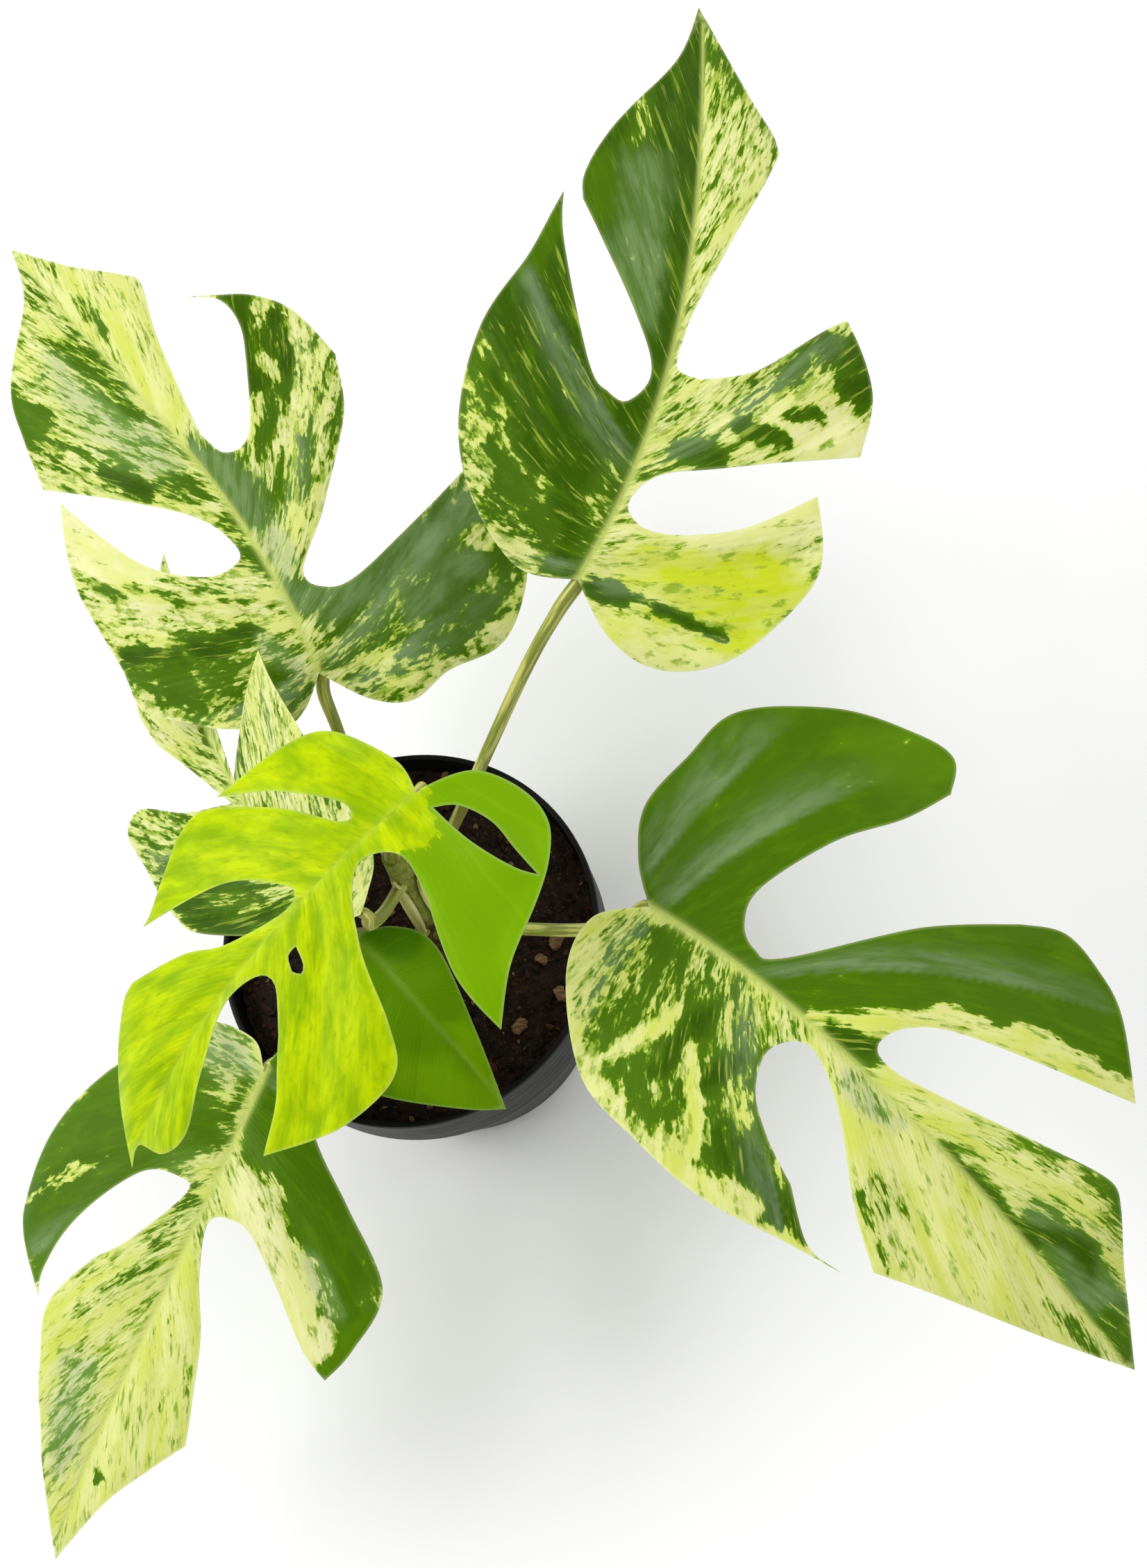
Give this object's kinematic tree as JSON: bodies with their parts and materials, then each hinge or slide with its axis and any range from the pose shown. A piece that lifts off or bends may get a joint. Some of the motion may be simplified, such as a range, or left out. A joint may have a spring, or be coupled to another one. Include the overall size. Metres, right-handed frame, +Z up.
{
  "type": "potted foliage plant",
  "caption": "Young variegated split-leaf vine growing in a round black nursery pot of soil, its leaves held out on arching stalks.",
  "frame": {"origin": "centre of the pot's flat underside", "axes": "+Z up; the pot is round about Z; the longest leaf points to +Y and the front faces -Y"},
  "size_m": [0.2897, 0.3681, 0.2209],
  "materials": {
    "pot": "satin black moulded plastic",
    "soil": "damp peat and fine bark potting mix",
    "bark_tan": "dry tan bark chip",
    "bark_red": "red-brown bark chip",
    "stem": "brown woody vine stem with pale rings",
    "stalk": "smooth olive leaf stalk",
    "sheath": "papery cream sheath",
    "leaf_variegated": "satin leaf, green marbled with cream",
    "leaf_lime": "satin new leaf, bright lime",
    "leaf_green": "satin leaf, plain mid green"
  },
  "bodies": {
    "root": {"bark_chip_1": "bark_tan", "bark_chip_10": "bark_red", "bark_chip_2": "bark_tan", "bark_chip_3": "bark_tan", "bark_chip_4": "bark_tan", "bark_chip_5": "bark_red", "bark_chip_6": "bark_red", "bark_chip_7": "bark_red", "bark_chip_8": "bark_red", "bark_chip_9": "bark_red", "leaf_back": "leaf_variegated", "leaf_front": "leaf_lime", "leaf_lower_left": "leaf_variegated", "leaf_right": "leaf_variegated", "leaf_small": "leaf_green", "leaf_top": "leaf_variegated", "leaf_upper_left": "leaf_variegated", "petiole_back": "stalk", "petiole_front": "stalk", "petiole_lower_left": "stalk", "petiole_right": "stalk", "petiole_small": "stalk", "petiole_top": "stalk", "petiole_upper_left": "stalk", "pot": "pot", "sheath_1": "sheath", "sheath_2": "sheath", "soil": "soil", "stem": "stem"}
  },
  "joints": []
}
